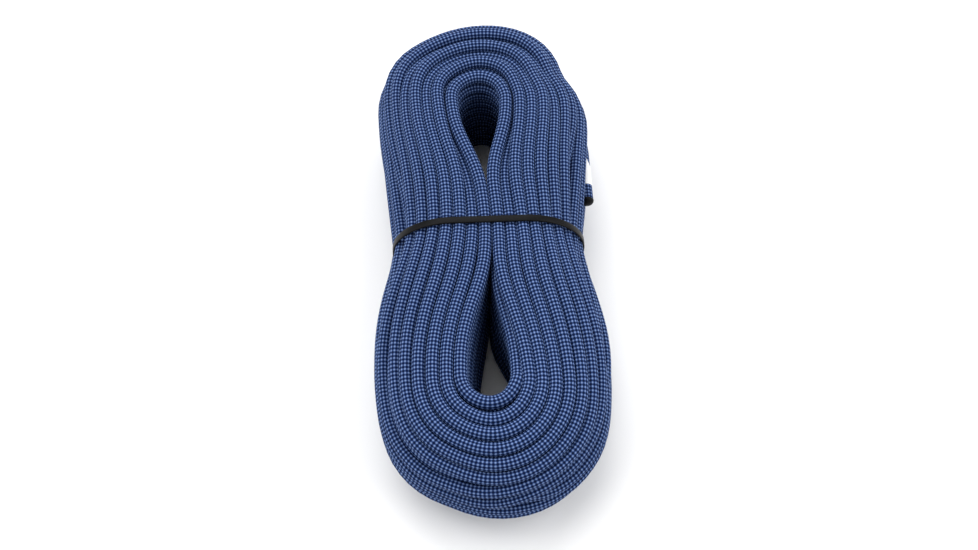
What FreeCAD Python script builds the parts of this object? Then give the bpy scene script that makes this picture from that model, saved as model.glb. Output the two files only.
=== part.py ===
import FreeCAD, Part
import Sketcher
import math
import os

from FreeCAD import Placement, Rotation, Vector

# A 50 m dynamic climbing rope as it leaves the factory: wound into an oval hank that lies flat,
# pinched to a waist by one cable tie. Both rope ends are tucked along the hank's side, and each
# has a sheath, core strands, a printed label and a dipped end cap.
# Millimetres, +Z up, +Y along the hank. The origin is the centre of the footprint.

SIZES = {
    "rope_diameter": 10.0,
    "sheath_wall": 0.85,
    "hank_length": 405.0,
    "hank_height": 99.0,
    "far_lobe_radius": 83.75,
    "far_waist_radius": 545.0,
    "waist_place": 7.15,
    "near_waist_radius": 80.0,
    "near_side_radius": 260.0,
    "near_end_radius": 84.0,
    "top_edge_round": 50.0,
    "floor_edge_round": 40.0,
    "eye_edge_round": 4.0,
    "far_eye_radius": 16.0,
    "far_eye_centre": 113.0,
    "far_eye_tip": 43.0,
    "near_eye_radius": 14.0,
    "near_eye_centre": 114.5,
    "near_eye_tip": 40.0,
    "eye_tip_radius": 2.0,
    "tail_clearance": 0.3,
    "tail_overrun": 7.0,
    "outer_strand_radius": 0.98,
    "outer_strand_pitch_radius": 3.13,
    "inner_strand_radius": 0.96,
    "inner_strand_pitch_radius": 1.15,
    "cap_length": 4.0,
    "cap_dome": 2.6,
    "label_length": 29.0,
    "label_thickness": 0.15,
    "label_slant": 13.0,
    "label_to_cap": 12.5,
    "tie_centre": 8.0,
    "strap_width": 5.5,
    "strap_thickness": 1.4,
    "strap_corner_top": 46.0,
    "strap_corner_floor": 38.0,
    "strap_half_span": 72.6,
    "strap_floor_gap": 0.5,
    "strap_top": 97.4,
    "strap_clearance": 0.3,
    "tie_head_length": 8.5,
    "tie_head_width": 9.0,
    "tie_head_height": 5.5,
    "tie_head_edge": 0.8,
    "tie_stub_length": 3.0,
    "tie_stub_root": 1.0,
    "tie_stub_height": 2.1,
}

OUTER_STRANDS = 9
INNER_STRANDS = 3

# Routes of the two rope ends, from the cap inwards to the turns. The outer end lies on the hank's
# right flank, the inner end on the floor behind the far lobe.
OUTER_END_ROUTE = [(77.9, 50.5, 46.0), (78.3, 100.0, 46.3), (69.5, 148.0, 51.0), (35.0, 183.5, 58.0)]
INNER_END_ROUTE = [(-24.0, 193.5, 5.3), (27.0, 191.0, 5.3), (64.0, 160.0, 5.3), (70.0, 116.0, 5.3)]

doc = FreeCAD.newDocument("climbing_rope")


# --- driving dimensions -------------------------------------------------------------------------

sheet = doc.addObject("Spreadsheet::Sheet", "Sizes")
for row, (name, value) in enumerate(SIZES.items(), start=1):
    sheet.set(f"A{row}", name)
    sheet.set(f"B{row}", str(value))
    sheet.setAlias(f"B{row}", name)
doc.recompute()


def size(name):
    return float(sheet.get(name))


rope_radius = size("rope_diameter") / 2
sheath_bore = rope_radius - size("sheath_wall")
strand_radius = {"outer": size("outer_strand_radius"), "inner": size("inner_strand_radius")}


# --- helpers ------------------------------------------------------------------------------------


def origin_plane(body, role):
    return next(feature for feature in body.Origin.OriginFeatures if feature.Role == role)


def new_sketch(body, name, role):
    sketch = body.newObject("Sketcher::SketchObject", name)
    sketch.AttachmentSupport = [(origin_plane(body, role), "")]
    sketch.MapMode = "FlatFace"
    return sketch


def bind(sketch, index, name, expression):
    sketch.renameConstraint(index, name)
    sketch.setExpression(f"Constraints.{name}", expression)


def feature(shape, label):
    item = doc.addObject("Part::Feature", label)
    item.Shape = shape
    item.Label = label
    return item


def rounded_path(points):
    """Straight runs joined by tangent arcs, each as large as its two runs allow."""
    points = [Vector(*point) for point in points]
    edges = []
    radii = []
    start = points[0]
    for before, corner, after in zip(points, points[1:], points[2:]):
        inward = (before - corner).normalize()
        outward = (after - corner).normalize()
        half_turn = (math.pi - inward.getAngle(outward)) / 2
        reach = 0.45 * min((before - corner).Length, (after - corner).Length)
        radius = reach / math.tan(half_turn)
        arc_start = corner + inward * reach
        arc_end = corner + outward * reach
        bisector = (inward + outward).normalize()
        arc_middle = corner + bisector * (radius / math.cos(half_turn) - radius)
        edges.append(Part.LineSegment(start, arc_start).toShape())
        edges.append(Part.Arc(arc_start, arc_middle, arc_end).toShape())
        radii.append(round(radius, 1))
        start = arc_end
    edges.append(Part.LineSegment(start, points[-1]).toShape())
    return Part.Wire(edges), radii


def section_frame(points):
    """The route's start, its direction there, and two directions across it."""
    start = Vector(*points[0])
    along = (Vector(*points[1]) - start).normalize()
    across = along.cross(Vector(0, 0, 1)).normalize()
    return start, along, across, across.cross(along)


def swept_disc(points, radius, offset=0.0, angle=0.0):
    """A solid rod along the route, its centre moved off the route within the section."""
    path, _ = rounded_path(points)
    start, along, across, up = section_frame(points)
    centre = start + across * (offset * math.cos(angle)) + up * (offset * math.sin(angle))
    section = Part.Wire([Part.makeCircle(radius, centre, along)])
    return path.makePipeShell([section], True, False)


def stretched(points, extra):
    """The route with its capped end moved outwards."""
    start, along, _, _ = section_frame(points)
    first = start - along * extra
    return [tuple(first)] + list(points[1:])


# --- the hank: the outer shape of all its turns ---------------------------------------------------


def side_arc_centre(near_x, near_y, far_x, far_y, to_near, to_far):
    """The point on the left of two others at the given distances from them."""
    step_x, step_y = far_x - near_x, far_y - near_y
    spacing = math.hypot(step_x, step_y)
    along = (spacing**2 + to_near**2 - to_far**2) / (2 * spacing)
    across = math.sqrt(to_near**2 - along**2)
    return (
        near_x + (along * step_x - across * step_y) / spacing,
        near_y + (along * step_y + across * step_x) / spacing,
    )


def hank_outline(sketch):
    """A round far lobe, a pinched waist, and a longer near lobe with flat sides, tangent all round."""
    far_radius = size("far_lobe_radius")
    end_radius = size("near_end_radius")
    side_radius = size("near_side_radius")
    far_waist_radius = size("far_waist_radius")
    near_waist_radius = size("near_waist_radius")
    waist_y = size("waist_place")
    far_centre = size("hank_length") / 2 - far_radius
    end_centre = end_radius - size("hank_length") / 2
    far_waist_x = math.sqrt((far_radius + far_waist_radius) ** 2 - (far_centre - waist_y) ** 2)
    near_waist_x = far_waist_x - far_waist_radius + near_waist_radius
    side_x, side_y = side_arc_centre(
        0, end_centre, near_waist_x, waist_y, side_radius - end_radius, side_radius + near_waist_radius
    )
    far_angle = math.atan2(waist_y - far_centre, far_waist_x)
    waist_angle = math.atan2(waist_y - side_y, near_waist_x - side_x)
    end_angle = math.atan2(end_centre - side_y, -side_x)

    def circle(x, y, radius):
        return Part.Circle(Vector(x, y, 0), Vector(0, 0, 1), radius)

    pi = math.pi
    sketch.addGeometry(
        [
            Part.ArcOfCircle(circle(0, far_centre, far_radius), far_angle, pi - far_angle),
            Part.ArcOfCircle(circle(-far_waist_x, waist_y, far_waist_radius), 0, -far_angle),
            Part.ArcOfCircle(circle(-near_waist_x, waist_y, near_waist_radius), -waist_angle, 0),
            Part.ArcOfCircle(circle(-side_x, side_y, side_radius), pi - waist_angle, pi - end_angle),
            Part.ArcOfCircle(circle(0, end_centre, end_radius), pi - end_angle, 2 * pi + end_angle),
            Part.ArcOfCircle(circle(side_x, side_y, side_radius), end_angle, waist_angle),
            Part.ArcOfCircle(circle(near_waist_x, waist_y, near_waist_radius), pi, pi + waist_angle),
            Part.ArcOfCircle(circle(far_waist_x, waist_y, far_waist_radius), pi + far_angle, pi),
        ],
        False,
    )
    far, left_far, left_near, left_side, end, right_side, right_near, right_far = range(8)
    add = sketch.addConstraint
    for joint in (
        (far, 2, left_far, 2),
        (left_far, 1, left_near, 2),
        (left_near, 1, left_side, 1),
        (left_side, 2, end, 1),
        (end, 2, right_side, 1),
        (right_side, 2, right_near, 2),
        (right_near, 1, right_far, 2),
        (right_far, 1, far, 1),
    ):
        add(Sketcher.Constraint("Tangent", *joint))
    for arc in (far, end):
        add(Sketcher.Constraint("PointOnObject", arc, 3, -2))
    for one, other in ((left_far, right_far), (left_near, right_near), (left_side, right_side)):
        add(Sketcher.Constraint("Equal", one, other))
    for arc, name, radius in (
        (far, "far_lobe_radius", far_radius),
        (left_far, "far_waist_radius", far_waist_radius),
        (left_near, "near_waist_radius", near_waist_radius),
        (left_side, "near_side_radius", side_radius),
        (end, "near_end_radius", end_radius),
    ):
        bind(sketch, add(Sketcher.Constraint("Radius", arc, radius)), name, f"Sizes.{name}")
    for arc, name in ((left_far, "left_waist_place"), (right_far, "right_waist_place")):
        constraint = Sketcher.Constraint("DistanceY", -1, 1, arc, 3, waist_y)
        bind(sketch, add(constraint), name, "Sizes.waist_place")
    bind(
        sketch,
        add(Sketcher.Constraint("DistanceY", -1, 1, far, 3, far_centre)),
        "far_centre",
        "Sizes.hank_length / 2 - Sizes.far_lobe_radius",
    )
    bind(
        sketch,
        add(Sketcher.Constraint("DistanceY", end, 3, -1, 1, -end_centre)),
        "end_centre",
        "Sizes.hank_length / 2 - Sizes.near_end_radius",
    )


def eye_outline(sketch, which, side):
    """A teardrop: a round end away from the waist, two straight sides and a small round tip."""
    radius = size(f"{which}_eye_radius")
    centre_y = side * size(f"{which}_eye_centre")
    tip_radius = size("eye_tip_radius")
    tip_y = side * (size(f"{which}_eye_tip") + tip_radius)
    lean = math.asin((radius - tip_radius) / abs(centre_y - tip_y))
    up = Vector(0, 0, 1)
    big = Part.Circle(Vector(0, centre_y, 0), up, radius)
    small = Part.Circle(Vector(0, tip_y, 0), up, tip_radius)
    out_x, out_y = math.cos(lean), -side * math.sin(lean)

    def touching(centre, arc_radius, mirror):
        return Vector(mirror * arc_radius * out_x, centre + arc_radius * out_y, 0)

    tilt = side * lean
    first = sketch.GeometryCount
    if side > 0:
        arcs = (-tilt, math.pi + tilt), (math.pi + tilt, 2 * math.pi - tilt)
    else:
        arcs = (math.pi + tilt, 2 * math.pi - tilt), (-tilt, math.pi + tilt)
    sketch.addGeometry(
        [
            Part.ArcOfCircle(big, *arcs[0]),
            Part.LineSegment(touching(centre_y, radius, -side), touching(tip_y, tip_radius, -side)),
            Part.ArcOfCircle(small, *arcs[1]),
            Part.LineSegment(touching(tip_y, tip_radius, side), touching(centre_y, radius, side)),
        ],
        False,
    )
    round_end, one_side, tip, other_side = range(first, first + 4)
    add = sketch.addConstraint
    for joint in (
        (round_end, 2, one_side, 1),
        (one_side, 2, tip, 1),
        (tip, 2, other_side, 1),
        (other_side, 2, round_end, 1),
    ):
        add(Sketcher.Constraint("Tangent", *joint))
    add(Sketcher.Constraint("PointOnObject", round_end, 3, -2))
    add(Sketcher.Constraint("PointOnObject", tip, 3, -2))
    bind(
        sketch,
        add(Sketcher.Constraint("Radius", round_end, radius)),
        f"{which}_eye",
        f"Sizes.{which}_eye_radius",
    )
    bind(
        sketch,
        add(Sketcher.Constraint("Radius", tip, tip_radius)),
        f"{which}_tip",
        "Sizes.eye_tip_radius",
    )
    ends = ((-1, 1, round_end, 3), (-1, 1, tip, 3)) if side > 0 else ((round_end, 3, -1, 1), (tip, 3, -1, 1))
    bind(
        sketch,
        add(Sketcher.Constraint("DistanceY", *ends[0], abs(centre_y))),
        f"{which}_eye_centre",
        f"Sizes.{which}_eye_centre",
    )
    bind(
        sketch,
        add(Sketcher.Constraint("DistanceY", *ends[1], abs(tip_y))),
        f"{which}_tip_centre",
        f"Sizes.{which}_eye_tip + Sizes.eye_tip_radius",
    )


def edges_at(shape, height, outer):
    """Names of the level edges at one height, either round the outline or round the eyes."""
    clearance = size("far_eye_radius") + size("eye_tip_radius")
    names = []
    for number, edge in enumerate(shape.Edges, start=1):
        box = edge.BoundBox
        level = abs(box.ZMin - height) < 0.01 and abs(box.ZMax - height) < 0.01
        reach = max(abs(box.XMin), abs(box.XMax))
        if level and (reach > clearance) == outer:
            names.append(f"Edge{number}")
    return names


def round_edges(body, base, name, edges, expression):
    fillet = body.newObject("PartDesign::Fillet", name)
    fillet.Base = (base, edges)
    fillet.setExpression("Radius", expression)
    doc.recompute()
    return fillet


def make_turns_body():
    body = doc.addObject("PartDesign::Body", "TurnsBody")
    outline = new_sketch(body, "TurnsOutline", "XY_Plane")
    hank_outline(outline)
    eye_outline(outline, "far", 1)
    eye_outline(outline, "near", -1)
    pad = body.newObject("PartDesign::Pad", "TurnsPad")
    pad.Profile = outline
    pad.setExpression("Length", "Sizes.hank_height")
    doc.recompute()
    top = size("hank_height")
    crown = round_edges(body, pad, "TopRound", edges_at(pad.Shape, top, True), "Sizes.top_edge_round")
    foot = round_edges(body, crown, "FloorRound", edges_at(crown.Shape, 0.0, True), "Sizes.floor_edge_round")
    eye_edges = edges_at(foot.Shape, top, False) + edges_at(foot.Shape, 0.0, False)
    round_edges(body, foot, "EyeRound", eye_edges, "Sizes.eye_edge_round")
    outline.Visibility = False
    return body


def make_channel(name, route):
    """The room that a rope end and its label take in the hank's flank."""
    radius = rope_radius + size("label_thickness") + size("tail_clearance")
    reach = size("cap_length") + size("tail_overrun")
    return feature(swept_disc(stretched(route, reach), radius), name)


def strap_outline(grow):
    """The strap's loop across the hank: flat-sided, with large round corners. Returns its wire."""
    half = size("strap_half_span") + grow
    low = size("strap_floor_gap") - grow
    high = size("strap_top") + grow
    top_round = size("strap_corner_top") + grow
    low_round = size("strap_corner_floor") + grow
    slant = math.sqrt(0.5)

    def at(x, z):
        return Vector(x, 0, z)

    def corner(side, centre_z, radius, up):
        centre_x = side * (half - radius)
        return (
            at(centre_x + side * radius, centre_z),
            at(centre_x + side * radius * slant, centre_z + up * radius * slant),
            at(centre_x, centre_z + up * radius),
        )

    right_top = corner(1, high - top_round, top_round, 1)
    left_top = corner(-1, high - top_round, top_round, 1)
    right_low = corner(1, low + low_round, low_round, -1)
    left_low = corner(-1, low + low_round, low_round, -1)
    edges = [
        Part.Arc(*right_top).toShape(),
        Part.LineSegment(right_top[2], left_top[2]).toShape(),
        Part.Arc(*reversed(left_top)).toShape(),
        Part.LineSegment(left_top[0], left_low[0]).toShape(),
        Part.Arc(*left_low).toShape(),
        Part.LineSegment(left_low[2], right_low[2]).toShape(),
        Part.Arc(*reversed(right_low)).toShape(),
        Part.LineSegment(right_low[0], right_top[0]).toShape(),
    ]
    return Part.Wire(edges)


def band(outer_wire, inner_wire, width):
    """The ring between two loops, centred on the tie's plane."""
    face = Part.Face(outer_wire).cut(Part.Face(inner_wire))
    ring = face.extrude(Vector(0, width, 0))
    ring.translate(Vector(0, size("tie_centre") - width / 2, 0))
    return ring.Solids[0]


def make_tie_groove():
    """Everything outside the strap's inner face, over the strap's width and a little more."""
    width = size("strap_width") + 2 * size("strap_clearance")
    far_out = size("hank_height")
    outer = Part.makePolygon(
        [
            Vector(-far_out, 0, -far_out),
            Vector(far_out, 0, -far_out),
            Vector(far_out, 0, 2 * far_out),
            Vector(-far_out, 0, 2 * far_out),
            Vector(-far_out, 0, -far_out),
        ]
    )
    return feature(band(outer, strap_outline(-size("strap_thickness")), width), "TieGroove")


def head_placement():
    """The lock sits square on the strap's lower left corner, clear of the floor."""
    low_round = size("strap_corner_floor")
    slant = math.sqrt(0.5)
    x = -(size("strap_half_span") - low_round) - low_round * slant
    z = size("strap_floor_gap") + low_round - low_round * slant
    return Placement(Vector(x, size("tie_centre"), z), Rotation(Vector(0, 1, 0), 225))


def make_head_room():
    """The pocket in the hank's flank for the lock."""
    clearance = size("strap_clearance")
    length = size("tie_head_length") + 2 * clearance
    width = size("tie_head_width") + 2 * clearance
    depth = size("tie_head_height") / 3
    height = 2 * size("tie_head_height")
    room = Part.makeBox(length, width, height, Vector(-length / 2, -width / 2, -depth))
    item = feature(room, "HeadRoom")
    item.Placement = head_placement()
    return item


def make_hank():
    body = make_turns_body()
    cutters = doc.addObject("Part::MultiFuse", "HankCutters")
    cutters.Shapes = [
        make_channel("OuterChannel", OUTER_END_ROUTE),
        make_channel("InnerChannel", INNER_END_ROUTE),
        make_tie_groove(),
        make_head_room(),
    ]
    hank = doc.addObject("Part::Cut", "Hank")
    hank.Base = body
    hank.Tool = cutters
    hank.Label = "rope_hank"
    return hank


# --- the two rope ends ----------------------------------------------------------------------------


def make_sheath(end, route):
    tube = swept_disc(route, rope_radius).cut(swept_disc(route, sheath_bore))
    return feature(tube, f"{end}_end_sheath")


def make_core(end, route):
    """Twelve strands: a ring of nine round a centre of three."""
    strands = []
    for ring, count in (("outer", OUTER_STRANDS), ("inner", INNER_STRANDS)):
        offset = size(f"{ring}_strand_pitch_radius")
        for number in range(count):
            angle = 2 * math.pi * number / count
            rod = swept_disc(route, strand_radius[ring], offset, angle)
            strands.append(feature(rod, f"{end}_end_core_strand_{len(strands) + 1:02d}"))
    return strands


def make_cap(end, route):
    """Melted and dipped tip: a short plug with a rounded end face."""
    body = doc.addObject("PartDesign::Body", f"{end}CapBody")
    body.Label = f"{end}_end_cap"
    sketch = new_sketch(body, f"{end}CapProfile", "XY_Plane")
    sketch.addGeometry(Part.Circle(Vector(0, 0, 0), Vector(0, 0, 1), rope_radius), False)
    sketch.addConstraint(Sketcher.Constraint("Coincident", 0, 3, -1, 1))
    bind(
        sketch,
        sketch.addConstraint(Sketcher.Constraint("Diameter", 0, 2 * rope_radius)),
        "cap_diameter",
        "Sizes.rope_diameter",
    )
    pad = body.newObject("PartDesign::Pad", f"{end}CapPad")
    pad.Profile = sketch
    pad.setExpression("Length", "Sizes.cap_length")
    doc.recompute()
    far_edge = max(range(len(pad.Shape.Edges)), key=lambda number: pad.Shape.Edges[number].BoundBox.ZMin)
    round_edges(body, pad, f"{end}CapRound", [f"Edge{far_edge + 1}"], "Sizes.cap_dome")
    start, along, _, _ = section_frame(route)
    body.Placement = Placement(start, Rotation(Vector(0, 0, 1), along * -1))
    return body


def make_label(end, route):
    """A thin band wrapped on the sheath, its inner edge cut on a slant."""
    length = size("label_length")
    slant = size("label_slant")
    outer = rope_radius + size("label_thickness")
    ring = Part.makeCylinder(outer, length + slant).cut(Part.makeCylinder(rope_radius, length + slant))
    lean = math.atan2(slant, outer)
    reach = 2 * length
    slab = Part.makeBox(2 * reach, 2 * reach, length, Vector(-reach, -reach, 0))
    slab.Placement = Placement(Vector(0, 0, length), Rotation(Vector(0, 1, 0), math.degrees(lean)))
    item = feature(ring.cut(slab), f"{end}_end_label")
    start, along, _, _ = section_frame(route)
    item.Placement = Placement(start + along * size("label_to_cap"), Rotation(Vector(0, 0, 1), along))
    return item


# --- the cable tie --------------------------------------------------------------------------------


def make_tie():
    """One moulding: the strap's loop, the lock it passes through, and the stub left by the cutter."""
    thickness = size("strap_thickness")
    width = size("strap_width")
    loop = band(strap_outline(0.0), strap_outline(-thickness), width)
    head_length = size("tie_head_length")
    head_width = size("tie_head_width")
    head_height = size("tie_head_height")
    corner = Vector(-head_length / 2, -head_width / 2, -thickness / 2)
    head = Part.makeBox(head_length, head_width, head_height, corner)
    head = head.makeFillet(size("tie_head_edge"), head.Edges)
    stub_root = size("tie_stub_root")
    stub_corner = Vector(head_length / 2 - stub_root, -width / 2, size("tie_stub_height"))
    stub = Part.makeBox(size("tie_stub_length") + stub_root, width, thickness, stub_corner)
    lock = head.fuse(stub)
    lock.Placement = head_placement()
    return feature(loop.fuse(lock).removeSplitter(), "cable_tie")


# --- build, check and write -----------------------------------------------------------------------

nodes = [make_hank()]
for end_name, end_route in (("outer", OUTER_END_ROUTE), ("inner", INNER_END_ROUTE)):
    nodes.append(make_sheath(end_name, end_route))
    nodes.extend(make_core(end_name, end_route))
    nodes.append(make_cap(end_name, end_route))
    nodes.append(make_label(end_name, end_route))
    route_wire, route_radii = rounded_path(end_route)
    ring_area = math.pi * (rope_radius**2 - sheath_bore**2)
    sheath = doc.getObjectsByLabel(f"{end_name}_end_sheath")[0]
    print(end_name, "end: arc radii", route_radii, "length", round(route_wire.Length, 1))
    swept_volume = ring_area * route_wire.Length
    print("  sheath volume", round(sheath.Shape.Volume, 1), "section x length", round(swept_volume, 1))
nodes.append(make_tie())
doc.recompute()

for item in doc.Objects:
    if {"Invalid", "Error"} & set(item.State):
        raise RuntimeError(f"{item.Label}: {item.State}")
os.makedirs("parts", exist_ok=True)
for node in nodes:
    shape = node.Shape
    if shape.isNull() or not shape.isValid() or len(shape.Solids) != 1:
        raise RuntimeError(f"{node.Label}: not one valid solid")
    shape.exportStep(f"parts/{node.Label}.step")
whole = Part.makeCompound([node.Shape for node in nodes]).BoundBox
print("nodes", len(nodes), "size", [round(v, 2) for v in (whole.XLength, whole.YLength, whole.ZLength)])
print("lowest", round(whole.ZMin, 3), "x", round(whole.XMin, 2), round(whole.XMax, 2))
print("y", round(whole.YMin, 2), round(whole.YMax, 2), "hank volume", round(nodes[0].Shape.Volume))
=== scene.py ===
import math

import bpy
import numpy as np
from mathutils import Matrix, Vector


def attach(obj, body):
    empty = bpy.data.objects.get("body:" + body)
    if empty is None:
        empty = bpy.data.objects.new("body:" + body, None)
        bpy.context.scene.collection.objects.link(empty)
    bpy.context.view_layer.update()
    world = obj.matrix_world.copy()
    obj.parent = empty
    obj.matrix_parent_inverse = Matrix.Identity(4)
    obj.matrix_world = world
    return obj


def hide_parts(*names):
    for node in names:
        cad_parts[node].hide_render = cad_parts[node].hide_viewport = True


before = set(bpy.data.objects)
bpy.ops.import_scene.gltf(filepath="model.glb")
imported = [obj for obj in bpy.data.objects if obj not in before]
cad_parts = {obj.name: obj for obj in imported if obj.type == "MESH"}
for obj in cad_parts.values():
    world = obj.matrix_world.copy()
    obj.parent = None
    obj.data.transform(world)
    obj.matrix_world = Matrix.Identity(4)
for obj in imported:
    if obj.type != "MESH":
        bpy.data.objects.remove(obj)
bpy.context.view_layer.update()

# The looks of a 50 m climbing rope in its factory hank, with +Z up and +Y along the hank. The rope
# and the tie are worked out in millimetres, and MM turns them into metres.

MM = 0.001
ROPE_RADIUS = 5.0
rng = np.random.default_rng(7)

# Routes of the two rope ends, from the cap inwards to the turns.
OUTER_END_ROUTE = [(77.9, 50.5, 46.0), (78.3, 100.0, 46.3), (69.5, 148.0, 51.0), (35.0, 183.5, 58.0)]
INNER_END_ROUTE = [(-24.0, 193.5, 5.3), (27.0, 191.0, 5.3), (64.0, 160.0, 5.3), (70.0, 116.0, 5.3)]


def add_object(name, data):
    item = bpy.data.objects.new(name, data)
    bpy.context.scene.collection.objects.link(item)
    return item


# --- camera ---------------------------------------------------------------------------------------

camera_data = bpy.data.cameras.new("camera")
camera_data.lens = 50.4
camera_data.sensor_width = 36.0
camera = add_object("camera", camera_data)
camera.location = (-0.0173, -0.4853, 0.964)
aim = Vector((-0.0013, -0.0365, 0.094)) - camera.location
camera.rotation_euler = aim.to_track_quat("-Z", "Y").to_euler()
bpy.context.scene.camera = camera


# --- the hank's outline and its two eyes, seen from above -----------------------------------------

NEAR_MIDDLE_Y = -116.5
END_Y, END_RADIUS = -118.5, 84.0
SIDE_X, SIDE_Y, SIDE_RADIUS = -173.06, -86.47, 260.0
FAR_CENTRE_Y, FAR_RADIUS = 118.75, 83.75
WAIST_Y, WAIST_HALF, FAR_WAIST_RADIUS, NEAR_WAIST_RADIUS = 7.15, 73.8, 545.0, 80.0
# Where one arc of the outline meets the next.
END_MEETS_SIDE, SIDE_MEETS_WAIST, WAIST_MEETS_FAR = END_Y - 15.3, WAIST_Y - 22.05, FAR_CENTRE_Y - 14.8

# The eyes: the middle and radius of each one's round end, its pointed tip, how far from the tip
# it is fully open, and how slowly it opens.
EYE_X = -4.0
NEAR_EYE_Y, NEAR_EYE_RADIUS = -113.0, 15.3
FAR_EYE_Y, FAR_EYE_RADIUS = 113.0, 16.0
NEAR_TIP_Y, NEAR_EYE_LENGTH, NEAR_SLOWNESS = -32.0, 75.0, 1.2
FAR_TIP_Y, FAR_EYE_LENGTH, FAR_SLOWNESS = 40.0, 68.0, 1.9
MIDDLE_BOW, MIDDLE_BOW_Y, MIDDLE_BOW_SPREAD = 6.2, 5.0, 50.0

# On the floor both eyes lie further to the right, and the near one is narrower and shorter.
FLOOR_TIP_Y, FLOOR_EYE_LENGTH, FLOOR_SLOWNESS = -56.0, 36.0, 1.8
FLOOR_NEAR_EYE_RADIUS = 13.0
FLOOR_NEAR_SHIFT, NEAR_SHIFT_Y, NEAR_SHIFT_LENGTH = 6.5, -62.0, 22.0
FLOOR_FAR_SHIFT, FAR_SHIFT_Y, FAR_SHIFT_LENGTH = (3.0, 3.0), 43.0, 50.0
LEAN_TOP, LEAN_DEPTH = 88.0, 65.0

TIE_Y, TIE_REACH, TIE_PINCH = 8.0, 30.0, 2.4

# Uneven places of the outline: size, middle and spread. The flanks' middles are along the hank,
# and the ends' middles are directions in degrees.
LEFT_SWELLS = [(3.0, -25.0, 28.0), (2.6, 46.0, 22.0)]
RIGHT_SWELLS = [(4.4, 54.0, 23.0)]
NEAR_END_SWELLS = [(-3.5, -115.0, 14.0), (1.2, -62.0, 15.0)]
FAR_END_SWELLS = [(-9.0, 25.0, 13.0), (-3.0, 95.0, 30.0), (2.0, 58.0, 14.0), (7.4, 150.0, 18.0)]
NEAR_END_FLATTER, FAR_END_SHORTER = 3.2, 0.8


def hump(at, middle, spread):
    """1 at the middle, falling to 0 away from it."""
    return math.exp(-(((at - middle) / spread) ** 2))


def with_swells(reach, at, swells):
    for size, middle, spread in swells:
        reach += size * hump(at, middle, spread)
    return reach


def share(distance, length):
    """0 before the start of a length, 1 past its end."""
    return float(np.clip(distance / length, 0.0, 1.0))


def opened(distance, length, slowness):
    """How far an eye has opened at some distance from its tip."""
    return math.sin(share(distance, length) * math.pi / 2) ** slowness


def middle_line(y):
    """Where the two halves of the hank meet, across the hank."""
    return EYE_X + MIDDLE_BOW * hump(y, MIDDLE_BOW_Y, MIDDLE_BOW_SPREAD)


def eye_half_width(y):
    near_part = NEAR_EYE_RADIUS * opened(NEAR_TIP_Y - y, NEAR_EYE_LENGTH, NEAR_SLOWNESS)
    return near_part + FAR_EYE_RADIUS * opened(y - FAR_TIP_Y, FAR_EYE_LENGTH, FAR_SLOWNESS)


def floor_wall_shift(x, y, side):
    """How far the eye's wall moves to the right between the crown and the floor, on a flank."""
    if y > 0.0:
        return FLOOR_FAR_SHIFT[0] * share(y - FAR_SHIFT_Y, FAR_SHIFT_LENGTH)
    lean = FLOOR_NEAR_SHIFT * share(NEAR_SHIFT_Y - y, NEAR_SHIFT_LENGTH)
    half_width = FLOOR_NEAR_EYE_RADIUS * opened(FLOOR_TIP_Y - y, FLOOR_EYE_LENGTH, FLOOR_SLOWNESS)
    return middle_line(y) + lean + side * half_width - x


def outer_half_width(y):
    """Half the hank's width: a round end, flat sides, the waist and the round far lobe."""
    if y < END_MEETS_SIDE:
        return math.sqrt(max(END_RADIUS**2 - (y - END_Y) ** 2, 0.0))
    if y < SIDE_MEETS_WAIST:
        return SIDE_X + math.sqrt(SIDE_RADIUS**2 - (y - SIDE_Y) ** 2)
    if y > WAIST_MEETS_FAR:
        return math.sqrt(max(FAR_RADIUS**2 - (y - FAR_CENTRE_Y) ** 2, 0.0))
    waist_radius = NEAR_WAIST_RADIUS if y < WAIST_Y else FAR_WAIST_RADIUS
    return WAIST_HALF + waist_radius - math.sqrt(waist_radius**2 - (y - WAIST_Y) ** 2)


def near_reach(c, s):
    """How far the outline lies from the near lobe's middle in one direction."""
    low, high = 60.0, 100.0
    for _ in range(24):
        reach = 0.5 * (low + high)
        if abs(reach * c) < outer_half_width(NEAR_MIDDLE_Y + reach * s):
            low = reach
        else:
            high = reach
    return low


def pinch(y):
    """1 under the cable tie, falling to 0 away from it."""
    return hump(y, TIE_Y, TIE_REACH)


# --- the coil's stations: cuts across the hank, one after another along a turn --------------------
# A turn runs from the middle of the near end up the left flank, round the far end and back down the
# right flank. At each station a strand's place is u, its distance from the eye's wall, and z.

QUARTER = 7
FLANK = 13
STATIONS = 4 * QUARTER + 2 * FLANK
LEFT_FLANK = range(QUARTER, QUARTER + FLANK)
FAR_LOBE = range(LEFT_FLANK.stop, LEFT_FLANK.stop + 2 * QUARTER)
RIGHT_FLANK = range(FAR_LOBE.stop, FAR_LOBE.stop + FLANK)

LEFT_NEAR, LEFT_WAIST, LEFT_FAR = LEFT_FLANK.start + 2, LEFT_FLANK.start + 7, LEFT_FLANK.stop - 1
FAR_END = FAR_LOBE.start + QUARTER
RIGHT_FAR, RIGHT_WAIST, RIGHT_NEAR = (RIGHT_FLANK.start + step for step in (1, 6, 11))


def near_end_station(angle):
    c, s = math.cos(angle), math.sin(angle)
    reach = near_reach(c, s) - NEAR_END_FLATTER * max(-s, 0.0) ** 4
    reach = with_swells(reach, math.degrees(angle), NEAR_END_SWELLS)
    eye_point = (EYE_X + NEAR_EYE_RADIUS * c, NEAR_EYE_Y + NEAR_EYE_RADIUS * s)
    return eye_point, (reach * c, NEAR_MIDDLE_Y + reach * s)


def far_end_station(angle):
    c, s = math.cos(angle), math.sin(angle)
    reach = with_swells(FAR_RADIUS - FAR_END_SHORTER, math.degrees(angle), FAR_END_SWELLS)
    eye_point = (EYE_X + FAR_EYE_RADIUS * c, FAR_EYE_Y + FAR_EYE_RADIUS * s)
    return eye_point, (reach * c, FAR_CENTRE_Y + reach * s)


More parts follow.
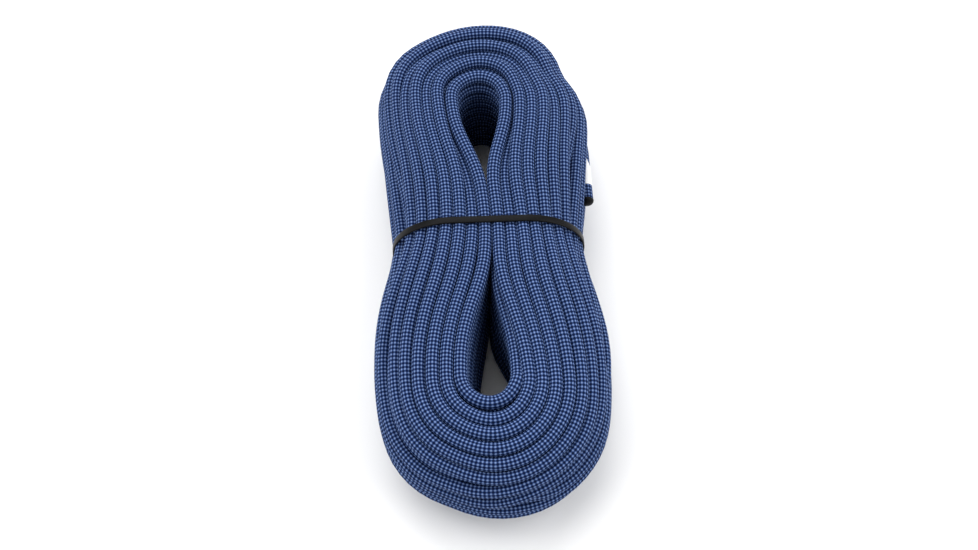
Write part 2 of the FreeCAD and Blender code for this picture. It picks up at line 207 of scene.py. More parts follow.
def flank_station(part, side):
    y_in = NEAR_EYE_Y + (FAR_EYE_Y - NEAR_EYE_Y) * part
    y_out = NEAR_MIDDLE_Y + (FAR_CENTRE_Y - NEAR_MIDDLE_Y) * part
    swell = with_swells(0.0, y_out, LEFT_SWELLS if side < 0 else RIGHT_SWELLS)
    x_in = middle_line(y_in) + side * eye_half_width(y_in)
    x_out = side * (outer_half_width(y_out) - TIE_PINCH * pinch(y_out) + swell)
    return (x_in, y_in), (x_out, y_out)


end_steps = [math.pi / 2 * i / QUARTER for i in range(2 * QUARTER)]
stations = [near_end_station(-math.pi / 2 - step) for step in end_steps[:QUARTER]]
stations += [flank_station(i / FLANK, -1) for i in range(FLANK)]
stations += [far_end_station(math.pi - step) for step in end_steps]
stations += [flank_station(1 - i / FLANK, 1) for i in range(FLANK)]
stations += [near_end_station(-step) for step in end_steps[:QUARTER]]

inner = np.array([eye_point for eye_point, edge_point in stations])
outer = np.array([edge_point for eye_point, edge_point in stations])
width = np.linalg.norm(outer - inner, axis=1)
outward = (outer - inner) / width[:, None]
span = np.arange(STATIONS)

wall_shift = np.zeros(STATIONS)
for s in range(STATIONS):
    if s in LEFT_FLANK or s in RIGHT_FLANK:
        side = -1 if s in LEFT_FLANK else 1
        wall_shift[s] = floor_wall_shift(inner[s, 0], inner[s, 1], side) * outward[s, 0]
    elif s in FAR_LOBE:
        wall_shift[s] = outward[s] @ FLOOR_FAR_SHIFT
    else:
        wall_shift[s] = FLOOR_NEAR_SHIFT * outward[s, 0] + FLOOR_NEAR_EYE_RADIUS - NEAR_EYE_RADIUS

# The hank's height and the rounding of its outer edges. The tie presses the crown down a little,
# and the crown's edge is sharper round the far end.
HANK_HEIGHT, TIE_DIP, LOBES_Y = 99.0, 3.0, 110.0
TOP_ROUND, FAR_END_SHARPER, FAR_END_SPREAD = 50.0, 18.0, 5.0
FLOOR_ROUND = 40.0
middle_y = 0.5 * (inner[:, 1] + outer[:, 1])
pressed = np.array([pinch(y) if abs(y) < LOBES_Y else 0.0 for y in middle_y])
height = HANK_HEIGHT - TIE_DIP * pressed
top_round = TOP_ROUND - FAR_END_SHARPER * np.array([hump(s, FAR_END, FAR_END_SPREAD) for s in span])


def depth_share(z):
    """0 at the crown, 1 low down in the eye."""
    return np.clip((LEAN_TOP - z) / LEAN_DEPTH, 0.0, 1.0)


def top_of(u, s):
    """The highest place of a strand's centre at u."""
    radius = top_round[s] - ROPE_RADIUS
    over = min(max(u - (width[s] - top_round[s]), 0.0), radius)
    return height[s] - ROPE_RADIUS - radius + math.sqrt(radius * radius - over * over)


# --- the turns ------------------------------------------------------------------------------------
# Rows from the floor up. The bottom row is wound inwards, the next outwards, and so on.

ROW_TURNS = [6, 6, 6, 6, 7, 7, 7, 7, 6, 7]
ROWS = len(ROW_TURNS)
SQUARENESS = 0.85
# Above the low rows the outermost turn stays in, which leaves room for the top row's outer turns
# and the last part turn.
LOW_ROWS, UPPER_ROW_REACH = 5, 0.84

order = []
for row, row_turns in enumerate(ROW_TURNS):
    columns = range(row_turns - 1, -1, -1) if row % 2 == 0 else range(row_turns)
    order += [(row, column) for column in columns]
TURNS = len(order)
LAPS = TURNS + 1

# The top row's turns at the key stations: distance from the eye's wall, and how far each lies
# below the crown. Every second turn sinks between its neighbours round the far end.
TOP_PLACES = {
    0: [7.6, 20.0, 30.4, 40.4, 48.6, 56.0, 61.6],
    LEFT_NEAR: [4.8, 14.6, 24.8, 34.4, 44.0, 53.0, 62.4],
    LEFT_WAIST: [4.7, 14.0, 23.3, 32.7, 41.2, 49.6, 57.2],
    LEFT_FAR: [5.0, 11.0, 15.6, 23.0, 30.9, 39.5, 47.0],
    FAR_END: [8.9, 15.5, 22.6, 29.3, 36.0, 42.3, 48.5],
    RIGHT_FAR: [5.0, 10.5, 15.7, 24.2, 32.9, 41.4, 49.2],
    RIGHT_WAIST: [4.7, 14.0, 22.2, 30.3, 38.7, 47.0, 54.0],
    RIGHT_NEAR: [4.8, 14.4, 23.8, 33.2, 42.6, 52.2, 61.4],
}
LEVEL = [0.0] * ROW_TURNS[-1]
TOP_SINK = {
    0: LEVEL,
    LEFT_NEAR: [0.0, 0.0, 0.0, 0.0, 0.5, 0.0, 0.0],
    LEFT_WAIST: [0.0, 0.5, 0.0, 0.0, 0.5, 0.0, 0.0],
    LEFT_FAR: [0.0, 7.0, 0.0, 2.6, 0.0, 1.6, 0.0],
    FAR_END: [0.0, 7.6, 0.0, 7.6, 0.0, 7.6, 0.0],
    RIGHT_FAR: [0.0, 7.0, 0.0, 1.4, 0.0, 1.4, 0.0],
    RIGHT_WAIST: [0.0, 0.5, 0.0, 0.5, 0.0, 0.5, 0.0],
    RIGHT_NEAR: LEVEL,
}
KEYS = [*TOP_PLACES, STATIONS]

# The last part turn runs below the top row's outermost turn and rises to the outer end.
LAST_KEYS = [0, LEFT_NEAR, LEFT_WAIST, LEFT_FAR, FAR_END]
LAST_U = [65.5, 67.0, 66.5, 67.5, 62.5]
LAST_Z = [51.0, 52.0, 53.0, 57.0, 62.0]

# A turn moves over to the next one's place on the near lobe's right side, early in the top rows.
EARLY_MOVE = np.interp(span, [RIGHT_WAIST, RIGHT_NEAR, STATIONS], [0.0, 0.5, 1.0])
LATE_MOVE = np.interp(span, [RIGHT_NEAR, STATIONS], [0.0, 1.0])

START = RIGHT_FAR + 1
END = TURNS * STATIONS + FAR_END + 2


def top_turn(column):
    """Places of one turn of the top row at every station, each a share of the local width."""
    around = [key % STATIONS for key in KEYS]
    shares = [TOP_PLACES[key][column] / width[key] for key in around]
    sinks = [TOP_SINK[key][column] for key in around]
    u = np.interp(span, KEYS, shares) * width
    return u, np.array([top_of(u[s], s) for s in span]) - np.interp(span, KEYS, sinks)


def lower_turn(row, column):
    """Places of one turn below the top row at every station."""
    outermost = 1.0 if row < LOW_ROWS else UPPER_ROW_REACH
    across = outermost * column / (ROW_TURNS[row] - 1)
    up = 2 * row / (ROWS - 1) - 1
    half = 0.5 * height - ROPE_RADIUS
    z = ROPE_RADIUS + half + half * up * math.sqrt(1 - SQUARENESS * across * across / 2)
    wall = wall_shift * depth_share(z)
    reach = (width - 2 * ROPE_RADIUS) * math.sqrt(1 - SQUARENESS * up * up / 2)
    return ROPE_RADIUS + wall + (reach - wall) * across, z


def turn_places(turn):
    if turn == TURNS:
        return np.interp(span, LAST_KEYS, LAST_U), np.interp(span, LAST_KEYS, LAST_Z)
    row, column = order[turn]
    return top_turn(column) if row == ROWS - 1 else lower_turn(row, column)


lay_u = np.zeros(LAPS * STATIONS)
lay_z = np.zeros(LAPS * STATIONS)
for turn in range(TURNS):
    here_u, here_z = turn_places(turn)
    next_u, next_z = turn_places(turn + 1)
    move = EARLY_MOVE if order[turn][0] >= ROWS - 2 else LATE_MOVE
    place = slice(turn * STATIONS, (turn + 1) * STATIONS)
    lay_u[place] = here_u + move * (next_u - here_u)
    lay_z[place] = here_z + move * (next_z - here_z)
lay_u[TURNS * STATIONS:], lay_z[TURNS * STATIONS:] = turn_places(TURNS)


def spline_points(points, resolution, name):
    """The points that a smooth NURBS line through these control points passes, in metres."""
    curve = bpy.data.curves.new(name, "CURVE")
    curve.dimensions = "3D"
    curve.resolution_u = resolution
    spline = curve.splines.new("NURBS")
    spline.points.add(len(points) - 1)
    flat = np.ones((len(points), 4))
    flat[:, :3] = points
    spline.points.foreach_set("co", flat.ravel())
    spline.order_u = 3
    spline.use_endpoint_u = True
    holder = add_object(name, curve)
    bpy.context.view_layer.update()
    mesh = bpy.data.meshes.new_from_object(holder)
    read = np.empty(len(mesh.vertices) * 3)
    mesh.vertices.foreach_get("co", read)
    bpy.data.objects.remove(holder)
    bpy.data.curves.remove(curve)
    bpy.data.meshes.remove(mesh)
    return read.reshape(-1, 3)


BEYOND_HANK = 120.0


def crossing_places(route, name):
    """Where a rope end passes each station, so that the turns make room for it."""
    route_line = spline_points(np.array(route) * MM, 12, name) / MM
    found_u = np.full(STATIONS, np.nan)
    found_z = np.full(STATIONS, np.nan)
    for s in range(STATIONS):
        offset = route_line[:, :2] - inner[s]
        beside = offset[:, 0] * -outward[s, 1] + offset[:, 1] * outward[s, 0]
        ahead = offset @ outward[s]
        crosses = beside[:-1] * beside[1:] <= 0
        hits = np.nonzero(crosses & (ahead[:-1] > 0) & (ahead[:-1] < BEYOND_HANK))[0]
        if len(hits):
            found_u[s] = ahead[hits[0]]
            found_z[s] = route_line[hits[0], 2]
    return found_u, found_z


# --- settling the turns: they push each other apart, stay in the hank's outline, and stay smooth --

# Each turn wanders a little: the period in stations and the size of each wave.
WOBBLES = [(61.0, 1.0), (37.0, 0.8), (23.0, 0.6)]
WOBBLE_UP = 0.8
wobble_u = np.zeros_like(lay_u)
wobble_z = np.zeros_like(lay_z)
steps = np.arange(len(lay_u))
for period, size in WOBBLES:
    for wobble, amount in ((wobble_u, size), (wobble_z, WOBBLE_UP * size)):
        knots = rng.normal(0.0, amount, int(len(steps) / period) + 4)
        wobble += np.interp(steps / period, np.arange(len(knots)), knots)
u = lay_u + wobble_u
z = lay_z + wobble_z

# How firmly a turn is held to its laid place: the top row, the turns at the eye's wall, the lower
# rows' outermost turns, and the last turn up to where it leaves the coil. The rest is nearly free.
TOP_HOLD, FREE_HOLD = 0.3, 0.004
WALL_HOLD, NEAR_WALL_HOLD, OUTSIDE_HOLD = 0.14, 0.4, 0.08
LAST_HOLD, LEAVING_HOLD, LEAVING_RUN = 0.1, 0.5, 9
NARROW_EYE_Y, NARROW_EYE_REACH = -56.0, 32.0
# Turns held more firmly than FIRM_HOLD wander less to the side, and the top row wanders less in z.
FIRM_HOLD, FIRM_WANDER, TOP_WANDER_UP = 0.05, 0.5, 0.25

top_row = np.zeros(len(u), bool)
top_row[(TURNS - ROW_TURNS[-1]) * STATIONS:TURNS * STATIONS] = True
hold = np.where(top_row, TOP_HOLD, FREE_HOLD)
beside_narrow_eye = np.abs(inner[:, 1] - NARROW_EYE_Y) < NARROW_EYE_REACH
for turn, (row, column) in enumerate(order[:-ROW_TURNS[-1]]):
    place = slice(turn * STATIONS, (turn + 1) * STATIONS)
    if column == 0:
        hold[place] = np.where(beside_narrow_eye, NEAR_WALL_HOLD, WALL_HOLD)
    elif column == ROW_TURNS[row] - 1 and row < LOW_ROWS:
        hold[place] = OUTSIDE_HOLD
hold[(TURNS - 1) * STATIONS:END] = LAST_HOLD
hold[END - LEAVING_RUN:END] = LEAVING_HOLD
goal_u = lay_u + np.where(hold > FIRM_HOLD, FIRM_WANDER, 1.0) * wobble_u
goal_z = lay_z + np.where(top_row, TOP_WANDER_UP, 1.0) * wobble_z

# The first turn comes in from the inner end, which lies on the floor under the far lobe's edge.
START_RUN, START_X, START_Z, START_HOLD = 6, 68.0, 5.3, 0.5
for i in range(START_RUN):
    part = i / START_RUN
    s = START + i
    goal_u[s] = (1 - part) * (START_X - inner[s, 0]) + part * goal_u[s]
    goal_z[s] = START_Z
    hold[s] = START_HOLD * (1 - part)
    u[s], z[s] = goal_u[s], goal_z[s]

# The room each strand takes at a station, from the cut's area: strands pack in a triangular grid,
# so they lie HEX_SPACING times the root of their share apart, a little less as they press.
HEX_SPACING, TIGHTNESS, LEAST_ROOM, MOST_ROOM = 1.0746, 0.985, 9.4, 10.5
EYE_TAPER = 0.55
corners_cut = (1 - math.pi / 4) * (top_round**2 + FLOOR_ROUND**2)
area = width * height - corners_cut - EYE_TAPER * wall_shift * height
room = np.clip(HEX_SPACING * TIGHTNESS * np.sqrt(area / (TURNS + 0.5)), LEAST_ROOM, MOST_ROOM)

END_ROOM = 9.9
ends = [crossing_places(OUTER_END_ROUTE, "outer_route"), crossing_places(INNER_END_ROUTE, "inner_route")]
shape = (LAPS, STATIONS)
diagonal = np.arange(LAPS)
# The places before the coil's first station and after its last one count as far away.
in_coil = ((steps >= START) & (steps < END)).reshape(shape).T
far_away = 1e4 + 100.0 * np.arange(LAPS)[None, :]


def separate(u, z, rate):
    """Pushes strands apart that are closer than their room, at every station, and off the ends."""
    lap_u = np.where(in_coil, u.reshape(shape).T, far_away)
    lap_z = np.where(in_coil, z.reshape(shape).T, 0.0)
    du = lap_u[:, :, None] - lap_u[:, None, :]
    dz = lap_z[:, :, None] - lap_z[:, None, :]
    gap = np.sqrt(du * du + dz * dz) + 1e-6
    push = np.clip(room[:, None, None] - gap, 0.0, None) / gap
    push[:, diagonal, diagonal] = 0.0
    move_u = rate * (push * du).sum(axis=2)
    move_z = rate * (push * dz).sum(axis=2)
    for end_u, end_z in ends:
        for s in np.nonzero(~np.isnan(end_u))[0]:
            du = lap_u[s] - end_u[s]
            dz = lap_z[s] - end_z[s]
            gap = np.sqrt(du * du + dz * dz) + 1e-6
            push = np.clip(END_ROOM - gap, 0.0, None) / gap
            move_u[s] += push * du
            move_z[s] += push * dz
    return u + move_u.T.ravel(), z + move_z.T.ravel()


station_of = steps % STATIONS
width_here = width[station_of]
height_here = height[station_of]
top_round_here = top_round[station_of]
wall_shift_here = wall_shift[station_of]
WALL_GIVE = 0.3


def keep_inside(u, z):
    """Puts every strand's centre back inside the hank's outline less the rope's radius."""
    u = np.maximum(u, ROPE_RADIUS - WALL_GIVE + wall_shift_here * depth_share(z))
    u = np.minimum(u, width_here - ROPE_RADIUS)
    z = np.clip(z, ROPE_RADIUS, height_here - ROPE_RADIUS)
    for centre_z, radius, above in (
        (height_here - top_round_here, top_round_here - ROPE_RADIUS, True),
        (FLOOR_ROUND, FLOOR_ROUND - ROPE_RADIUS, False),
    ):
        centre_u = width_here - radius - ROPE_RADIUS
        across = u - centre_u
        up = (z - centre_z) if above else (centre_z - z)
        reach = np.hypot(across, up)
        outside = (across > 0) & (up > 0) & (reach > radius)
        factor = np.where(outside, radius / np.maximum(reach, 1e-6), 1.0)
        u = centre_u + np.where(outside, across * factor, across)
        moved = np.where(outside, up * factor, up)
        z = centre_z + moved if above else centre_z - moved
    return u, z


def smoothed(values, amount):
    result = values.copy()
    middle = values[START + 1:END - 1]
    beside = 0.5 * (values[START:END - 2] + values[START + 2:END])
    result[START + 1:END - 1] = middle + amount * (beside - middle)
    return result


SETTLE_STEPS = 420
LATE, LATE_GRIP = 0.7, 0.6
SMOOTHING, LAST_SMOOTHING = 0.35, 0.5
PUSH_RATE, PUSH_RATE_GAIN = 0.22, 0.16
for step in range(SETTLE_STEPS):
    done = step / SETTLE_STEPS
    grip = hold if done < LATE else LATE_GRIP * hold
    u = u + grip * (goal_u - u)
    z = z + grip * (goal_z - z)
    u = lay_u + smoothed(u - lay_u, SMOOTHING)
    z = lay_z + smoothed(z - lay_z, SMOOTHING)
    u, z = separate(u, z, PUSH_RATE + PUSH_RATE_GAIN * done)
    u, z = keep_inside(u, z)
u, z = keep_inside(smoothed(u, LAST_SMOOTHING), smoothed(z, LAST_SMOOTHING))


# --- the rope's one line, from its inner end to its outer end -------------------------------------

plan = inner[station_of] + outward[station_of] * u[:, None]
coil = np.column_stack([plan, z])[START:END]
control = np.vstack([INNER_END_ROUTE, coil, OUTER_END_ROUTE[::-1]]) * MM
LEAST_STEP = 0.8 * MM
line = spline_points(control, 2, "rope_route")
line = line[np.concatenate([[True], np.linalg.norm(np.diff(line, axis=0), axis=1) > LEAST_STEP])]
along = np.concatenate([[0.0], np.cumsum(np.linalg.norm(np.diff(line, axis=0), axis=1))])
rope_length = float(along[-1])


def turning_frames(points):
    """Two directions square to the line at each point, turned with it and never twisted."""
    tangents = np.gradient(points, axis=0)
    tangents /= np.linalg.norm(tangents, axis=1)[:, None]
    side = np.cross(tangents[0], (0.0, 0.0, 1.0))
    side /= np.linalg.norm(side)
    sides = np.empty_like(points)
    sides[0] = side
    for i in range(1, len(points)):
        side = side - tangents[i] * (side @ tangents[i])
        side /= math.sqrt(side @ side)
        sides[i] = side
    return tangents, sides, np.cross(tangents, sides)


tangents, sides, ups = turning_frames(line)


def spoke(i, angle):
    """The direction square to the line at point i, turned by an angle about it."""
    return sides[i] * math.cos(angle) + ups[i] * math.sin(angle)


def round_angles(count):
    return [2 * math.pi * k / count for k in range(count)]


def tube_faces(rings, count):
    faces = []
    for ring in range(rings - 1):
        a = ring * count
        for k in range(count):
            n = (k + 1) % count
            faces.append((a + k, a + n, a + count + n, a + count + k))
    return faces


def mesh_object(name, verts, faces, smooth=True):
    mesh = bpy.data.meshes.new(name)
    mesh.from_pydata([tuple(v) for v in verts], [], faces)
    mesh.update()
    if smooth:
        mesh.polygons.foreach_set("use_smooth", [True] * len(mesh.polygons))
    return add_object(name, mesh)


ROPE_SIDES = 12
WEAVE_PITCH = 2.87 * MM


def make_rope():
    """A tube round the whole line, with UVs that run round the rope and along it."""
    angle = 2 * math.pi * np.arange(ROPE_SIDES) / ROPE_SIDES
    rings = sides[:, None, :] * np.cos(angle)[None, :, None]
    rings = rings + ups[:, None, :] * np.sin(angle)[None, :, None]
    verts = (line[:, None, :] + ROPE_RADIUS * MM * rings).reshape(-1, 3)
    rope = mesh_object("climbing_rope", verts, tube_faces(len(line), ROPE_SIDES))
    ring_of = np.repeat(np.arange(len(line) - 1), ROPE_SIDES)
    side_of = np.tile(np.arange(ROPE_SIDES), len(line) - 1)
    corner_u = np.stack([side_of, side_of + 1, side_of + 1, side_of], axis=1) / ROPE_SIDES
    corner_v = along[np.stack([ring_of, ring_of, ring_of + 1, ring_of + 1], axis=1)] / WEAVE_PITCH
    uv = rope.data.uv_layers.new(name="WeaveUV")
    uv.data.foreach_set("uv", np.stack([corner_u, corner_v], axis=2).astype("f").ravel())
    return rope


rope = make_rope()


# --- materials ------------------------------------------------------------------------------------


def new_material(name, roughness, specular):
    material = bpy.data.materials.new(name)
    material.use_nodes = True
    tree = material.node_tree
    shader = tree.nodes["Principled BSDF"]
    shader.inputs["Roughness"].default_value = roughness
    shader.inputs["Specular IOR Level"].default_value = specular
    return material, tree, shader


def node(tree, kind, **values):
    made = tree.nodes.new(kind)
    for key, value in values.items():
        setattr(made, key, value)
    return made


def math_node(tree, operation, *values):
    made = node(tree, "ShaderNodeMath", operation=operation)
    for socket, value in zip(made.inputs, values):
        if isinstance(value, (int, float)):
            socket.default_value = value
        else:
            tree.links.new(value, socket)
    return made.outputs[0]


def ramp_node(tree, factor, stops):
    made = node(tree, "ShaderNodeValToRGB")
    elements = made.color_ramp.elements
    while len(elements) < len(stops):
        elements.new(1.0)
    for element, (position, colour) in zip(elements, stops):
        element.position = position
        element.color = (*colour, 1.0)
    tree.links.new(factor, made.inputs["Fac"])
    return made.outputs["Color"]


def add_bump(tree, shader, height, strength, distance):
    bump = node(tree, "ShaderNodeBump")
    bump.inputs["Strength"].default_value = strength
    bump.inputs["Distance"].default_value = distance
    tree.links.new(height, bump.inputs["Height"])
    tree.links.new(bump.outputs["Normal"], shader.inputs["Normal"])


CHECKS_ROUND = 12
WEAVE_COLOURS = [
    (0.0, (0.001, 0.005, 0.024)),
    (0.27, (0.002, 0.007, 0.032)),
    (0.44, (0.013, 0.031, 0.108)),
    (0.62, (0.026, 0.054, 0.155)),
    (0.80, (0.108, 0.168, 0.340)),
    (1.0, (0.185, 0.256, 0.430)),
]


def rope_material():
    """A check of light and dark threads: one wave round the rope and one along it."""
    material, tree, shader = new_material("rope_weave", 0.7, 0.06)
    coordinates = node(tree, "ShaderNodeUVMap", uv_map="WeaveUV")
    split = node(tree, "ShaderNodeSeparateXYZ")
    tree.links.new(coordinates.outputs["UV"], split.inputs[0])
    waves = []
    for axis, turns in (("X", CHECKS_ROUND), ("Y", 1)):
        angle = math_node(tree, "MULTIPLY", split.outputs[axis], turns * 2 * math.pi)
        waves.append(math_node(tree, "COSINE", angle))
    # The two waves' sum runs from -2 to 2, and the weave from 0 to 1.
    weave = math_node(tree, "MULTIPLY_ADD", math_node(tree, "ADD", *waves), 0.25, 0.5)
    tree.links.new(ramp_node(tree, weave, WEAVE_COLOURS), shader.inputs["Base Color"])
    add_bump(tree, shader, weave, 0.5, 0.4 * MM)
    return material


def plain_material(name, colour, roughness, specular, grain, grain_scale):
    material, tree, shader = new_material(name, roughness, specular)
    coordinates = node(tree, "ShaderNodeTexCoord")
    noise = node(tree, "ShaderNodeTexNoise")
    noise.inputs["Scale"].default_value = grain_scale
    noise.inputs["Detail"].default_value = 4.0
    tree.links.new(coordinates.outputs["Object"], noise.inputs["Vector"])
    darker = tuple(c * (1 - grain) for c in colour)
    lighter = tuple(min(c * (1 + grain), 1.0) for c in colour)
    tone = ramp_node(tree, noise.outputs["Fac"], [(0.3, darker), (0.7, lighter)])
    tree.links.new(tone, shader.inputs["Base Color"])
    add_bump(tree, shader, noise.outputs["Fac"], 0.15, 0.2 * MM)
    return material


rope.data.materials.append(rope_material())
cap_look = plain_material("cap_dip", (0.003, 0.003, 0.004), 0.4, 0.08, 0.3, 400.0)
label_look = plain_material("label_film", (0.78, 0.78, 0.79), 0.5, 0.2, 0.04, 300.0)
tie_look = plain_material("tie_nylon", (0.0035, 0.0035, 0.004), 0.36, 0.08, 0.25, 500.0)


# --- caps and labels on the rope's ends -----------------------------------------------------------

# The cap's half section: distance past the rope's end and radius, from its wavy edge to its tip.
CAP_PROFILE = [(-0.6, 5.02), (-0.4, 5.2), (0.6, 5.22), (1.6, 4.95), (2.5, 4.3), (3.2, 3.3), (3.7, 1.8)]
CAP_TIP, CAP_WAVE, CAP_WAVES, CAP_SIDES = 3.9, 0.2, 3, 32

# The label: how far from the rope's end it begins and ends, how much its inner edge slants to
# either side, and its outer face's radius.
LABEL_BEGIN, LABEL_END, LABEL_SLANT = 12.5 * MM, 41.5 * MM, 12.5 * MM
LABEL_RADIUS, LABEL_ROWS, LABEL_SIDES = 5.17, 24, 48


def make_cap(name, index, direction):
    """A dipped tip: a sleeve over the last of the sheath and a rounded end."""
    centre = line[index]
    axis = tangents[index] * direction
    verts = []
    for ring, (distance, radius) in enumerate(CAP_PROFILE):
        for angle in round_angles(CAP_SIDES):
            wave = CAP_WAVE * math.sin(CAP_WAVES * angle + 1.0) if ring == 0 else 0.0
            verts.append(centre + (axis * (distance + wave) + spoke(index, angle) * radius) * MM)
    faces = tube_faces(len(CAP_PROFILE), CAP_SIDES)
    tip = len(verts)
    last_ring = tip - CAP_SIDES
    verts.append(centre + axis * CAP_TIP * MM)
    faces += [(last_ring + k, last_ring + (k + 1) % CAP_SIDES, tip) for k in range(CAP_SIDES)]
    if direction < 0:
        faces = [face[::-1] for face in faces]
    cap = mesh_object(name, verts, faces)
    cap.data.materials.append(cap_look)
    return cap


def make_label(name, from_start, short_side):
    """A printed band shrunk on the sheath, its inner edge cut on a steep slant."""
    middle = (LABEL_BEGIN + LABEL_END) / 2
    m = int(np.searchsorted(along, middle if from_start else rope_length - middle))
    verts = []
    for row in range(LABEL_ROWS + 1):
        radius = ROPE_RADIUS if row in (0, LABEL_ROWS) else LABEL_RADIUS
        for angle in round_angles(LABEL_SIDES):
            far = LABEL_END - LABEL_SLANT * (spoke(m, angle) @ short_side)
            distance = LABEL_BEGIN + (far - LABEL_BEGIN) * row / LABEL_ROWS
            place = distance if from_start else rope_length - distance
            point = np.array([np.interp(place, along, line[:, axis]) for axis in range(3)])
            i = min(int(np.searchsorted(along, place)), len(line) - 1)
            verts.append(point + spoke(i, angle) * radius * MM)
    faces = tube_faces(LABEL_ROWS + 1, LABEL_SIDES)
    if not from_start:
        faces = [face[::-1] for face in faces]
    label = mesh_object(name, verts, faces)
    label.data.materials.append(label_look)
    return label


inner_cap = make_cap("inner_cap_dip", 0, -1.0)
outer_cap = make_cap("outer_cap_dip", len(line) - 1, 1.0)
inner_label = make_label("inner_label_film", True, (0.0, 0.0, -1.0))
outer_label = make_label("outer_label_film", False, (1.0, 0.0, 0.0))


# --- the cable tie --------------------------------------------------------------------------------

STRAP_HALF, STRAP_LOW, STRAP_TOP = 72.6, 0.5, 97.4
CORNER_TOP, CORNER_FLOOR, CORNER_STEPS = 46.0, 38.0, 24
STRAP_WIDTH, STRAP_THICK, STRAP_EDGE = 5.5, 1.4, 0.45


def strap_line():
    """The strap's outer face seen along the hank: points, and the directions out of it."""
    corners = [
        (STRAP_HALF - CORNER_TOP, STRAP_TOP - CORNER_TOP, CORNER_TOP, 0.0),
        (-STRAP_HALF + CORNER_TOP, STRAP_TOP - CORNER_TOP, CORNER_TOP, math.pi / 2),
        (-STRAP_HALF + CORNER_FLOOR, STRAP_LOW + CORNER_FLOOR, CORNER_FLOOR, math.pi),
        (STRAP_HALF - CORNER_FLOOR, STRAP_LOW + CORNER_FLOOR, CORNER_FLOOR, 1.5 * math.pi),
    ]
    points, normals = [], []
    for x, z, radius, begin in corners:
        for k in range(CORNER_STEPS + 1):
            angle = begin + math.pi / 2 * k / CORNER_STEPS
            normal = (math.cos(angle), math.sin(angle))
            points.append((x + radius * normal[0], z + radius * normal[1]))
            normals.append(normal)
    return points, normals


def soften_edges(item, edge_width, segments):
    bevel = item.modifiers.new("edge", "BEVEL")
    bevel.width = edge_width * MM
    bevel.segments = segments


def make_strap():
    half, edge = STRAP_WIDTH / 2, STRAP_EDGE
    section = [
        (-half, -edge), (-half + edge, 0.0), (half - edge, 0.0), (half, -edge),
        (half, -STRAP_THICK + edge), (half - edge, -STRAP_THICK),
        (-half + edge, -STRAP_THICK), (-half, -STRAP_THICK + edge),
    ]
    points, normals = strap_line()
    verts = []
    for (x, z), (nx, nz) in zip(points, normals):
        for y, out in section:
            verts.append(Vector((x + nx * out, TIE_Y + y, z + nz * out)) * MM)
    count = len(section)
    faces = tube_faces(len(points), count)
    closing = (len(points) - 1) * count
    for k in range(count):
        n = (k + 1) % count
        faces.append((closing + k, closing + n, n, k))
    strap = mesh_object("cable_tie_strap", verts, faces)
    soften_edges(strap, 0.2, 2)
    strap.data.materials.append(tie_look)
    return strap


def block(name, low, high, edge_width, place):
    """A box with soft edges between two opposite corners, put in its place."""
    low, high = Vector(low) * MM, Vector(high) * MM
    verts = [(x, y, z) for x in (low.x, high.x) for y in (low.y, high.y) for z in (low.z, high.z)]
    faces = [(0, 1, 3, 2), (4, 6, 7, 5), (0, 4, 5, 1), (2, 3, 7, 6), (0, 2, 6, 4), (1, 5, 7, 3)]
    item = mesh_object(name, [place @ Vector(v) for v in verts], faces, smooth=False)
    soften_edges(item, edge_width, 4)
    item.data.materials.append(tie_look)
    return item


def make_lock():
    """The tie's lock with its mouth, and the stub that the cutter leaves, low on the left."""
    slant = math.sqrt(0.5)
    x = -(STRAP_HALF - CORNER_FLOOR) - CORNER_FLOOR * slant
    z = STRAP_LOW + CORNER_FLOOR * (1 - slant)
    turn = Matrix.Rotation(math.radians(225), 4, "Y")
    place = Matrix.Translation(Vector((x, TIE_Y, z)) * MM) @ turn
    lock = block("cable_tie_lock", (-4.25, -4.5, -0.7), (4.25, 4.5, 4.8), 0.8, place)
    mouth = block("lock_mouth", (2.6, -3.1, 1.6), (4.6, 3.1, 4.0), 0.2, place)
    cut = lock.modifiers.new("mouth", "BOOLEAN")
    cut.operation = "DIFFERENCE"
    cut.object = mouth
    bpy.context.view_layer.update()
    baked = bpy.data.meshes.new_from_object(lock.evaluated_get(bpy.context.evaluated_depsgraph_get()))
    lock.modifiers.clear()
    lock.data = baked
    bpy.data.objects.remove(mouth)
    stub = block("cable_tie_stub", (2.2, -2.75, 2.1), (7.25, 2.75, 3.5), 0.3, place)
    return lock, stub


strap = make_strap()
lock, stub = make_lock()


# --- floor and light ------------------------------------------------------------------------------

FLOOR_HALF = 4
floor_mesh = bpy.data.meshes.new("floor")
floor_corners = [(FLOOR_HALF * x, FLOOR_HALF * y, 0) for x, y in ((-1, -1), (1, -1), (1, 1), (-1, 1))]
floor_mesh.from_pydata(floor_corners, [], [(0, 1, 2, 3)])
floor = add_object("floor", floor_mesh)
floor.location.z = -0.2 * MM
floor_look, floor_tree, floor_shader = new_material("floor_paper", 0.9, 0.0)
floor_shader.inputs["Base Color"].default_value = (0.9, 0.9, 0.9, 1.0)
floor.data.materials.append(floor_look)

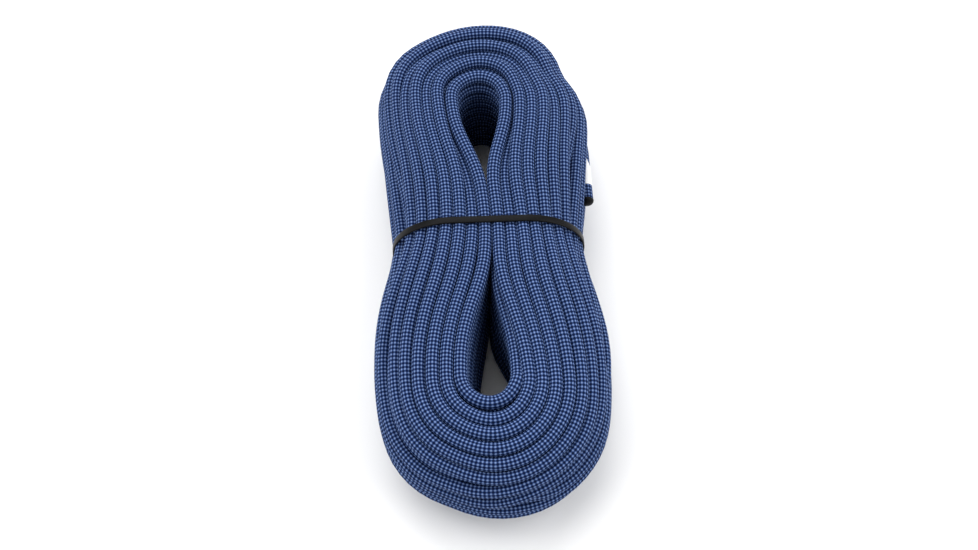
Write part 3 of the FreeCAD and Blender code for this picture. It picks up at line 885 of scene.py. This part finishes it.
# The studio's walls are pale and its ceiling is dimmer: grey levels from the horizon up.
SKY_GREYS = [(0.0, 0.86), (0.12, 0.80), (0.6, 0.26), (1.0, 0.22)]
world = bpy.data.worlds.new("studio")
world.use_nodes = True
sky = world.node_tree
sky_place = node(sky, "ShaderNodeTexCoord")
sky_split = node(sky, "ShaderNodeSeparateXYZ")
sky.links.new(sky_place.outputs["Generated"], sky_split.inputs[0])
sky_tone = ramp_node(sky, sky_split.outputs["Z"], [(at, (grey, grey, grey)) for at, grey in SKY_GREYS])
sky.links.new(sky_tone, sky.nodes["Background"].inputs["Color"])
sky.nodes["Background"].inputs["Strength"].default_value = 1.0
bpy.context.scene.world = world

# Softboxes: the direction each one shines in, its strength and its width in degrees.
SOFTBOXES = {
    "overhead_softbox": ((0.30, -0.40, -1.0), 1.2, 50),
    "left_softbox": ((1.0, 0.0, -0.8), 1.35, 60),
    "right_softbox": ((-1.0, 0.0, -0.8), 1.85, 60),
    "back_softbox": ((0.0, -1.0, -0.8), 1.5, 60),
    "front_softbox": ((0.0, 1.0, -0.8), 0.2, 60),
}
for name, (direction, energy, softness) in SOFTBOXES.items():
    sun_data = bpy.data.lights.new(name, "SUN")
    sun_data.energy = energy
    sun_data.angle = math.radians(softness)
    sun = add_object(name, sun_data)
    sun.rotation_euler = Vector(direction).to_track_quat("-Z", "Y").to_euler()
bpy.context.scene.view_settings.view_transform = "Standard"


# --- what stands for what -------------------------------------------------------------------------

strands = [f"{end}_end_core_strand_{n:02d}" for end in ("outer", "inner") for n in range(1, 13)]
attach(rope, "root")
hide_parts("rope_hank", "outer_end_sheath", "inner_end_sheath", *strands)
for piece, cad_node, slot in (
    (inner_cap, "inner_end_cap", "end_cap"),
    (outer_cap, "outer_end_cap", "end_cap"),
    (inner_label, "inner_end_label", "end_label"),
    (outer_label, "outer_end_label", "end_label"),
    (strap, "cable_tie", "cable_tie"),
):
    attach(piece, "root")
    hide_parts(cad_node)
for piece in (lock, stub):
    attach(piece, "root")
